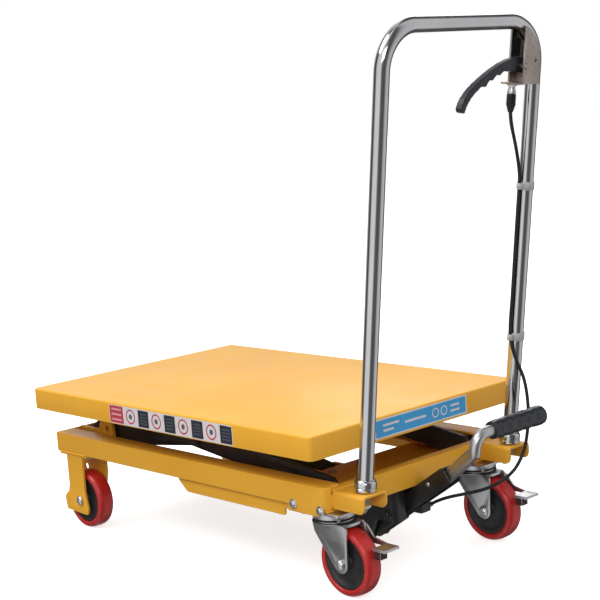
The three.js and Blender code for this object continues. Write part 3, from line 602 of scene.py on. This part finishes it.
def axle(node, outer_side, reach):
    """A domed bolt head outside and a nut inside, on one shank."""
    low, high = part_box(node)
    centre = (low + high) / 2
    out = Vector((0, outer_side, 0))
    head = turned("head", ((0, reach), (7.9, reach), (8, reach + 0.8), (7.4, reach + 2.6), (5.4, reach + 4.3),
                           (2.6, reach + 5.1), (0, reach + 5.3)), centre, out, 40)
    shank_line = ((0, -reach), (4.9, -reach), (4.9, reach + 0.5), (0, reach + 0.5))
    shank = turned("shank", shank_line, centre, out, 28)
    nut = hex_fastener("nut", centre - out * reach * MM, -out, 5.6, 3.0)
    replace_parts(finished(joined(f"{node}_fine", [head, shank, nut]), ZINC, BODY_OF[node]), node)


def casters():
    for side_name, side in SIDES:
        wheel("fixed", side_name)
        wheel("caster", side_name)
        axle(f"fixed_axle_{side_name}", side, 21.6)
        axle(f"caster_axle_{side_name}", side, 20.6)
        rolled_edges(f"caster_head_{side_name}", ZINC, 0.7)
        rolled_edges(f"caster_fork_{side_name}", ZINC, 0.9, 3)
        rolled_edges(f"brake_lever_{side_name}", ZINC, 0.7)
        swivel = at(316, side * 156.9, 0)
        race = turned("race", ((24, 0), (30.6, 0), (31.4, 0.8), (31.4, 2.2), (30.2, 3), (24, 3)),
                      swivel + Vector((0, 0, 111 * MM)), (0, 0, 1), 64)
        lip = turned("lip", ((27, 0), (31.8, 0), (32.2, 0.6), (31.8, 1.2), (27, 1.2)),
                     swivel + Vector((0, 0, 108.2 * MM)), (0, 0, 1), 64)
        finished(joined(f"swivel_race_{side_name}", [race, lip]), HUB, f"caster_{side_name}", 40)
        bolts = [hex_fastener("plate_bolts", swivel + Vector((dx * MM, dy * MM, 124 * MM)), (0, 0, -1),
                              5.6, 4, 2.4)
                 for dx in (-36, 36) for dy in (-26, 26)]
        finished(joined(f"plate_bolts_{side_name}", bolts), ZINC, "chassis")
        fixed = [hex_fastener("bracket_bolts", at(x, side * (174.5 + dy), 127.6), (0, 0, -1), 5.2, 3.6)
                 for x in (-318, -259) for dy in (-8, 8)]
        finished(joined(f"bracket_bolts_{side_name}", fixed), ZINC, "chassis")
        block_place = Matrix.Translation(at(402, side * 156.9 + 3, 69.6))
        block = rounded_bar(f"brake_block_{side_name}", (13, 15, 12.6), 2.2, block_place, 4)
        finished(block, OXBLOOD, f"brake_{side_name}")


# ---------------------------------------------------------------- platform and its labels

HALF_LENGTH, HALF_WIDTH = 350, 225
STRIP_START, STRIP_END = -124, 184
STRIP_LOW, STRIP_HIGH = 212.8, 243.0
RED_BLOCK = 38
END_LABEL_ACROSS, END_LABEL_UP = 3, 229


def on_near_skirt(x, z, lift=0.0):
    """The placement of a label on the near skirt: its X runs along the table and its Z outwards."""
    turn = Matrix(((1, 0, 0), (0, 0, -1), (0, 1, 0))).to_4x4()
    return Matrix.Translation(at(x, -HALF_WIDTH - lift, z)) @ turn


def on_end_skirt(y, z, lift=0.0):
    """The placement of a label on the skirt under the handle."""
    turn = Matrix(((0, 0, 1), (1, 0, 0), (0, 1, 0))).to_4x4()
    return Matrix.Translation(at(HALF_LENGTH + lift, y, z)) @ turn


def picture_strip():
    """A strip of plain tiles: one red block, then pale tiles with a ring beside dark blocks."""
    middle_z = (STRIP_LOW + STRIP_HIGH) / 2
    height = STRIP_HIGH - STRIP_LOW
    backing = film("label_strip", (STRIP_END - STRIP_START, height), 1.2,
                   on_near_skirt((STRIP_START + STRIP_END) / 2, middle_z))
    finished(backing, WHITE_FILM, "platform")
    block_x = STRIP_START + RED_BLOCK / 2
    block = film("label_red_block", (RED_BLOCK - 2, height - 2), 1,
                 on_near_skirt(block_x, middle_z, 0.2), 0.12)
    finished(block, RED_FILM, "platform")
    bars = [film("bar", (RED_BLOCK - 12, 3.0), 0.8, on_near_skirt(block_x, middle_z + rise, 0.3), 0.1)
            for rise in (8.4, 0, -8.4)]
    finished(joined("label_red_bars", bars), PINK_FILM, "platform")
    pitch = (STRIP_END - STRIP_START - RED_BLOCK) / 4
    rings, darks, lines = [], [], []
    for index in range(4):
        start = STRIP_START + RED_BLOCK + index * pitch
        ring_place = at(start + 18.5, -HALF_WIDTH - 0.2, middle_z)
        rings.append(turned("ring", ((9.6, 0), (12, 0), (12, 0.16), (9.6, 0.16)), ring_place, (0, -1, 0), 48))
        dot = turned("dot", ((0, 0), (4.2, 0), (4.2, 0.14), (0, 0.14)), ring_place, (0, -1, 0), 32)
        lines.append(dot)
        darks.append(film("dark", (27, height - 3), 0.8,
                          on_near_skirt(start + pitch - 14.8, middle_z, 0.2), 0.12))
        for rise in (7.5, 2.5, -2.5, -7.5):
            lines.append(film("line", (17, 1.5), 0.3,
                              on_near_skirt(start + pitch - 14.8, middle_z + rise, 0.3), 0.08))
    finished(joined("label_rings", rings), RED_FILM, "platform")
    finished(joined("label_dark_blocks", darks), SLATE_FILM, "platform")
    finished(joined("label_marks", lines), GREY_FILM, "platform")


def end_label():
    """A blue label with a pale frame and plain marks."""
    border = film("end_label_frame", (202, 29), 2.0, on_end_skirt(END_LABEL_ACROSS, END_LABEL_UP))
    finished(border, WHITE_FILM, "platform")
    field = film("end_label_field", (197, 24.5), 1.4, on_end_skirt(END_LABEL_ACROSS, END_LABEL_UP, 0.2), 0.12)
    finished(field, BLUE_FILM, "platform")
    marks = [film("mark", (width, 3.4), 0.7,
                  on_end_skirt(END_LABEL_ACROSS + across, END_LABEL_UP + rise, 0.3), 0.1)
             for across, rise, width in (
                 (-66, 4, 34), (-72, -4, 22), (-14, 0, 46), (74, 4, 20), (74, -4, 20))]
    marks += [turned("mark", ((5.6, 0), (7.4, 0), (7.4, 0.12), (5.6, 0.12)),
                     at(HALF_LENGTH + 0.3, END_LABEL_ACROSS + across, END_LABEL_UP), (1, 0, 0), 40)
              for across in (30, 49)]
    finished(joined("end_label_marks", marks), WHITE_FILM, "platform")


def platform():
    rolled_edges("platform_deck", YELLOW, 1.6, 4)
    picture_strip()
    end_label()
    for side_name, side in SIDES:
        for end in (-16, 16):
            name = f"lug_deck_weld_{side_name}_{'outer' if end < 0 else 'inner'}"
            weld(name, at(-308 + end, side * 151.8, 242), at(-308 + end, side * 158.2, 242), 1.5,
                 YELLOW, "platform")
    ribs = [rounded_bar("rib", (26, 236, 9), 1.6, Matrix.Translation(at(x, 0, 238.2)), 3)
            for x in (-120, 30, 180)]
    finished(joined("deck_ribs", ribs), YELLOW, "platform")


# ---------------------------------------------------------------- scissor arms


def scissor_arms():
    for side_name, side in SIDES:
        rolled_edges(f"inner_arm_{side_name}", BLACK, 0.8)
        rolled_edges(f"outer_arm_{side_name}", BLACK, 0.8)
        for level in ("lower", "upper"):
            node = f"{level}_roller_{side_name}"
            low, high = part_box(node)
            half = (high.y - low.y) / 2 / MM
            profile = ((6.4, -half), (10.8, -half), (11.9, 1 - half), (11.9, -1.2), (11.3, -0.6), (11.3, 0.6),
                       (11.9, 1.2), (11.9, half - 1), (10.8, half), (6.4, half))
            piece = turned(f"{node}_fine", profile, (low + high) / 2, (0, 1, 0), 56)
            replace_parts(finished(piece, ZINC, BODY_OF[node]), node)
        low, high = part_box(f"lower_roller_{side_name}")
        clip_place = Vector(((low.x + high.x) / 2, side * 184.6 * MM, (low.z + high.z) / 2))
        clip = turned(f"roller_clip_{side_name}",
                      ((5.2, -0.5), (7.6, -0.5), (7.8, 0), (7.6, 0.5), (5.2, 0.5)),
                      clip_place, (0, side, 0), 32)
        finished(clip, STEEL, "outer_arms")
    for node, finish in (("inner_pivot_shaft", BLACK), ("centre_shaft", BLACK), ("outer_pivot_shaft", ZINC)):
        rolled_edges(node, finish, 0.9)
    for node in ("inner_cross_tube", "outer_cross_tube", "ram_bracket"):
        rolled_edges(node, BLACK, 0.7)
    low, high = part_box("centre_shaft")
    for side_name, side in SIDES:
        end = Vector(((low.x + high.x) / 2, side * 152.2 * MM, (low.z + high.z) / 2))
        cap = turned(f"centre_cap_{side_name}", ((0, 0), (8.6, 0), (9, 0.5), (8.2, 1.6), (5, 2.3), (0, 2.5)),
                     end, (0, side, 0), 36)
        finished(cap, BLACK, "inner_arms")


# ---------------------------------------------------------------- ram, pump and pedal


def ram_and_pump():
    rolled_edges("ram_barrel", BLACK, 0.9)
    rolled_edges("ram_rod", CHROME, 0.6)
    rolled_edges("pump_mount", YELLOW, 0.8)
    moulded("pump_body", BLACK, 1.5, 5)
    rolled_edges("pump_plunger", CHROME, 0.8)
    rolled_edges("valve_lever", BRASS, 0.5)
    bolts = [hex_fastener("pump_bolts", at(x, y, 128.1), (0, 0, 1), 6.2, 4.4)
             for x in (184, 312) for y in (-32, 32)]
    finished(joined("pump_bolts", bolts), ZINC, "chassis")
    plug = hex_fastener("filler_plug", at(196, -41.6, 106), (0, -1, 0), 7.5, 4.6)
    finished(plug, BLACK, "chassis")
    drain = hex_fastener("drain_plug", at(310, -41.6, 84), (0, -1, 0), 5.6, 4)
    finished(drain, BLACK, "chassis")
    stem = turned("valve_stem", ((0, -3), (3.6, -3), (3.6, 5.4), (5.6, 5.4), (5.6, 6.6), (4.4, 8), (0, 8.4)),
                  at(288, 42, 92), (0, 1, 0), 28)
    finished(stem, ZINC, "chassis")
    for side_name, side in SIDES:
        washer = turned(f"ram_washer_{side_name}",
                        ((7.2, -0.6), (11.4, -0.6), (11.8, 0), (11.4, 0.6), (7.2, 0.6)),
                        at(140, side * 29.5, 112), (0, 1, 0), 32)
        finished(washer, ZINC, "ram_barrel_body")


def pedal_set():
    rolled_edges("pedal_arm", BLACK, 0.9)
    rolled_edges("pedal_bar", ZINC, 0.9)
    for side_name, side in SIDES:
        nut = hex_fastener(f"pedal_pivot_nut_{side_name}", at(238, side * 22.2, 41), (0, side, 0), 7, 3)
        finished(nut, ZINC, "chassis")
    rivet = turned("arm_rivet", ((0, 0), (3.2, 0), (3.2, 0.4), (2.4, 1.2), (0, 1.6)),
                   at(368.5, -13.0, 131.9), (0, -1, 0), 28)
    finished(rivet, ZINC, "pedal")
    hollows = []
    for index in range(49):
        y = 44 + index * 1.8
        wave = math.cos(math.tau * (y - 44) / 21.6)
        hollows.append((13.6 + (y - 44) * 0.011 + 0.42 * wave, y))
    profile = [(8.9, 33), (12.2, 33), (13.2, 33.8), (13.4, 36), (13.0, 38.5)] + hollows
    profile += [(14.9, 136), (15, 141), (14.2, 145.4), (11.8, 148.4), (7, 149.8), (0, 150), (0, 146.4),
                (8.9, 146.4)]
    low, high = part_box("pedal_grip")
    foot = Vector(((low.x + high.x) / 2, 0, (low.z + high.z) / 2))
    grip = turned("pedal_grip_fine", profile, foot, (0, 1, 0), 56)
    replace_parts(finished(grip, GRIP, "pedal", 40), "pedal_grip")


# ---------------------------------------------------------------- push handle, lever and cable

LEAN = math.radians(8.3)
FOOT_X, FOOT_Z = 385, 162
HALF_HANDLE, HANDLE_FOOT, HANDLE_TOP, HANDLE_BEND, TUBE_R = 158.5, -9, 638.7, 60, 11
UP_HANDLE = Vector((math.sin(LEAN), 0, math.cos(LEAN)))
OUT_HANDLE = Vector((math.cos(LEAN), 0, -math.sin(LEAN)))


def on_handle(across, up, out=0.0):
    """A place in the handle's own plane: across the table, up the uprights and out from them."""
    return at(FOOT_X, across, FOOT_Z) + (UP_HANDLE * up + OUT_HANDLE * out) * MM


def handle_line():
    """The centre line of the bent handle tube."""
    corner = HANDLE_TOP - HANDLE_BEND
    inner = HALF_HANDLE - HANDLE_BEND
    straight = (HANDLE_FOOT, 200, 400)
    points = [on_handle(-HALF_HANDLE, up) for up in straight]
    for centre, start in ((-inner, math.pi), (inner, math.pi / 2)):
        for step in range(25):
            angle = start - math.pi / 2 * step / 24
            points.append(on_handle(centre + HANDLE_BEND * math.cos(angle),
                                    corner + HANDLE_BEND * math.sin(angle)))
    return points + [on_handle(HALF_HANDLE, up) for up in reversed(straight)]


def push_handle():
    handle = finished(tube("handle_tube_fine", handle_line(), TUBE_R, 11), CHROME, "chassis", 40)
    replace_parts(handle, "handle_tube")
    for side_name, side in SIDES:
        node = f"handle_collar_{side_name}"
        profile = ((11.2, 0), (15.2, 0), (16, 0.8), (16, 4.6), (15.3, 5.2), (15.3, 6.2), (16, 6.8),
                   (16, 11.4),
                   (15.4, 13.4), (14, 15.4), (12.6, 16.4), (11.2, 16.5))
        collar = turned(f"{node}_fine", profile, on_handle(side * HALF_HANDLE, 0), UP_HANDLE, 64)
        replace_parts(finished(collar, CHROME, "chassis", 40), node)
        screw = turned(f"collar_screw_{side_name}",
                       ((0, 0.4), (1.6, 0.4), (1.6, 1.5), (2.6, 1.5), (3, 1), (3, -2), (0, -2)),
                       on_handle(side * HALF_HANDLE, 9, 15.4), OUT_HANDLE, 24)
        finished(screw, ZINC, "chassis")


def handle_plane(across, up, out):
    """The placement whose X runs across the table, Y up the uprights and Z out from them."""
    turn = Matrix((Vector((0, 1, 0)), UP_HANDLE, OUT_HANDLE)).transposed().to_4x4()
    return Matrix.Translation(on_handle(across, up, out)) @ turn


LEVER_PIVOT = (125, 576)
CABLE_ACROSS = 112


def release_lever():
    moulded("hand_lever", SLATE, 0.9, 9)
    rolled_edges("lever_bracket", STEEL, 0.5)
    across, up = LEVER_PIVOT
    pin_line = ((0, -16.4), (3.2, -16.4), (4.4, -15.9), (4.8, -15.3), (4.8, -14.3), (3.4, -14.3),
                (3.4, 14.3), (4.8, 14.3), (4.8, 15.3), (4.4, 15.9), (3.2, 16.4), (0, 16.4))
    pin = turned("lever_pin_fine", pin_line,
                 on_handle(across, up), OUT_HANDLE, 32)
    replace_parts(finished(pin, STEEL, "chassis"), "lever_pin")
    # Two thin black sheets over the inner face of the bracket's rear cheek: painted shade, standing where the
    # inside of the bracket lies in shadow
    painted_shade_sheet = [rounded_bar("painted_shade_sheet", (width, tall, 0.8), 0.3, handle_plane(across, height, -11.1), 2)
             for across, height, width, tall in ((129.6, 601, 20, 26), (124.4, 619.6, 9, 13))]
    finished(joined("bracket_painted_shade", painted_shade_sheet), BLACK, "chassis")
    start, end = on_handle(92, 553.4), on_handle(120, 548.2)
    strip_place = standing((start + end) / 2, end - start)
    strip = rounded_bar("brass_strip", (7, 1.2, (end - start).length / MM), 0.4, strip_place, 2)
    finished(strip, BRASS, "chassis")
    barrel_line = ((0, 536), (2.8, 536), (2.8, 537), (6.4, 537), (6.6, 537.6), (6.2, 540), (4.6, 546),
                   (4.2, 550), (0, 550))
    barrel = turned("adjuster_barrel", barrel_line, on_handle(CABLE_ACROSS, 0), UP_HANDLE, 40)
    nut = turned("nut", ((0, 547), (6.2, 547), (6.6, 547.4), (6.6, 549.6), (6.2, 550), (0, 550)),
                 on_handle(CABLE_ACROSS, 0), UP_HANDLE, 6)
    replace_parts(finished(joined("adjuster_barrel", [barrel, nut]), ZINC, "chassis"), "cable_adjuster")
    ridges = []
    for index in range(5):
        base = 521.5 + index * 2.9
        ridges += [(7, base), (7, base + 1.5), (6.2, base + 1.9), (6.2, base + 2.6)]
    boot_line = [(0, 510), (3.2, 510), (4.2, 512), (6.2, 519)] + ridges + [(6.2, 536.4), (0, 536.8)]
    boot = turned("cable_boot", boot_line,
                  on_handle(CABLE_ACROSS, 0), UP_HANDLE, 40)
    finished(boot, RUBBER, "chassis", 50)


CABLE_ROUTE = (
    (458.6, 112.1, 666.9), (456, 116.5, 648), (450, 132, 611), (445.2, 142, 578), (441.9, 143.7, 556),
    (434, 143.7, 502), (426, 143.7, 447), (418, 143.7, 392), (411, 143.6, 345), (411.5, 144.5, 318),
    (415.5, 149.5, 292), (420, 157, 268), (424, 158.5, 243), (426, 157.5, 214), (425.5, 153.5, 184),
    (423, 147.5, 159), (418.5, 137, 137), (410, 126, 121), (399, 110.5, 109.5), (388, 89, 103),
    (372, 66, 99.5), (350, 51, 94), (328, 47, 85), (311, 46.5, 75.5),
)


def cable():
    route = curved_route([at(*place) for place in CABLE_ROUTE])
    sheath = finished(tube("release_cable_fine", route, 2.6, 5), RUBBER, "chassis", 60)
    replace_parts(sheath, "release_cable")
    end = route[-1]
    along = (route[-1] - route[-3]).normalized()
    ferrule_line = ((0, -9), (3.7, -9), (3.9, -8.4), (3.9, -2), (3.3, -1.4), (3.3, 0.6), (2, 1.2), (0, 1.2))
    ferrule = turned("cable_ferrule", ferrule_line, end, along, 28)
    finished(ferrule, ZINC, "chassis")
    wire = tube("inner_wire", [end, end + along * 6 * MM, at(301, 46.6, 71.6)], 0.8, 3)
    finished(wire, STEEL, "chassis", 60)
    for name, up in (("upper", 399.8), ("lower", 169.6)):
        band = turned("band", ((11.05, -6), (12.3, -6), (12.6, -5.4), (12.6, 5.4), (12.3, 6), (11.05, 6)),
                      on_handle(HALF_HANDLE, up), UP_HANDLE, 56)
        loop = turned("loop", ((3.0, -4.6), (4.3, -4.6), (4.6, -4.2), (4.6, 4.2), (4.3, 4.6), (3.0, 4.6)),
                      on_handle(143.7, up, 0.2), UP_HANDLE, 36)
        finished(joined(f"cable_clip_{name}", [band, loop]), CLIP_GREY, "chassis", 40)


# ---------------------------------------------------------------- studio

FLOOR_SIZE = 30
FLOOR_GLOW = 0.66
AIR_STRENGTH = 0.78

CAMERA_TURN = (47.7, 8.02, -4.24)  # azimuth, elevation and roll in degrees
CAMERA_PLACE = (1790.8, -1534.3, 712.7)
CAMERA_LENS, CAMERA_SENSOR = 86.9, 36


def area_light(name, place, target, size, power):
    light = bpy.data.lights.new(name, "AREA")
    light.shape = "RECTANGLE"
    light.size, light.size_y = size
    light.energy = power
    lamp = bpy.data.objects.new(name, light)
    bpy.context.scene.collection.objects.link(lamp)
    lamp.matrix_world = standing(Vector(place), Vector(place) - Vector(target))


def studio():
    nothing_selected()
    bpy.ops.mesh.primitive_plane_add(size=FLOOR_SIZE)
    floor = bpy.context.object
    floor.name = "studio_floor"
    pale = bpy.data.materials.new("studio_pale")
    pale.use_nodes = True
    shader = pale.node_tree.nodes["Principled BSDF"]
    shader.inputs["Base Color"].default_value = (0.9, 0.9, 0.9, 1)
    shader.inputs["Roughness"].default_value = 0.9
    shader.inputs["Emission Color"].default_value = (1, 1, 1, 1)
    shader.inputs["Emission Strength"].default_value = FLOOR_GLOW
    floor.data.materials.append(pale)
    floor.visible_diffuse = False
    floor.visible_glossy = False
    studio_air()
    area_light("key", (-0.8, -1.9, 3.2), (0, 0, 0.2), (2.0, 2.0), 60)
    area_light("fill", (2.4, -2.4, 1.9), (0, 0, 0.3), (1.6, 1.2), 26)
    area_light("rim", (-1.4, 2.2, 1.8), (0, 0, 0.4), (1.5, 1.5), 12)


def studio_air():
    """A white backdrop that lights softly, with tall dark screens round it for the bright metal to mirror."""
    world = bpy.data.worlds.new("studio_air")
    bpy.context.scene.world = world
    world.use_nodes = True
    nodes, links = world.node_tree.nodes, world.node_tree.links
    soft = nodes["Background"]
    soft.inputs["Strength"].default_value = AIR_STRENGTH
    mirrored = nodes.new("ShaderNodeBackground")
    direction = nodes.new("ShaderNodeTexCoord")
    height = nodes.new("ShaderNodeSeparateXYZ")
    overhead = nodes.new("ShaderNodeValToRGB")
    overhead.color_ramp.elements[0].color = (0.34, 0.32, 0.30, 1)
    overhead.color_ramp.elements[1].color = (0.97, 0.98, 1, 1)
    overhead.color_ramp.elements[1].position = 0.3
    links.new(direction.outputs["Generated"], height.inputs["Vector"])
    links.new(height.outputs["Z"], overhead.inputs["Fac"])
    links.new(overhead.outputs["Color"], soft.inputs["Color"])
    around = nodes.new("ShaderNodeTexGradient")
    around.gradient_type = "RADIAL"
    screens = nodes.new("ShaderNodeValToRGB")
    tones = ((0.0, 0.52), (0.05, 0.08), (0.13, 0.10), (0.18, 0.80), (0.32, 0.86), (0.38, 0.12), (0.50, 0.10),
             (0.58, 0.56), (0.68, 0.64), (0.73, 0.08), (0.85, 0.10), (0.90, 0.74), (1.0, 0.52))
    elements = screens.color_ramp.elements
    while len(elements) < len(tones):
        elements.new(0.5)
    for element, (position, tone) in zip(elements, tones):
        element.position = position
        element.color = (tone, tone, tone * 1.02, 1)
    links.new(direction.outputs["Generated"], around.inputs["Vector"])
    links.new(around.outputs["Fac"], screens.inputs["Fac"])
    links.new(screens.outputs["Color"], mirrored.inputs["Color"])
    backdrop = nodes.new("ShaderNodeBackground")
    backdrop.inputs["Strength"].default_value = 1.0
    backdrop.inputs["Color"].default_value = (1, 1, 1, 1)
    ray = nodes.new("ShaderNodeLightPath")
    first, second = nodes.new("ShaderNodeMixShader"), nodes.new("ShaderNodeMixShader")
    links.new(ray.outputs["Is Glossy Ray"], first.inputs["Fac"])
    links.new(soft.outputs["Background"], first.inputs[1])
    links.new(mirrored.outputs["Background"], first.inputs[2])
    links.new(ray.outputs["Is Camera Ray"], second.inputs["Fac"])
    links.new(first.outputs["Shader"], second.inputs[1])
    links.new(backdrop.outputs["Background"], second.inputs[2])
    links.new(second.outputs["Shader"], nodes["World Output"].inputs["Surface"])


def long_lens_camera():
    """A long lens standing off the near corner of the handle end, turned a few degrees."""
    azimuth, elevation, roll = (math.radians(angle) for angle in CAMERA_TURN)
    back = Vector((math.sin(azimuth) * math.cos(elevation), -math.cos(azimuth) * math.cos(elevation),
                   math.sin(elevation)))
    right = Vector((math.cos(azimuth), math.sin(azimuth), 0))
    up = back.cross(right)
    level_right = right * math.cos(roll) + up * math.sin(roll)
    level_up = up * math.cos(roll) - right * math.sin(roll)
    data = bpy.data.cameras.new("view")
    data.lens = CAMERA_LENS
    data.sensor_width = CAMERA_SENSOR
    camera = bpy.data.objects.new("view", data)
    bpy.context.scene.collection.objects.link(camera)
    turn = Matrix((level_right, level_up, back)).transposed().to_4x4()
    camera.matrix_world = Matrix.Translation(at(*CAMERA_PLACE)) @ turn
    bpy.context.scene.camera = camera


long_lens_camera()
frame_rails()
casters()
platform()
scissor_arms()
ram_and_pump()
pedal_set()
push_handle()
release_lever()
cable()
studio()
bpy.context.scene.view_settings.view_transform = "Standard"
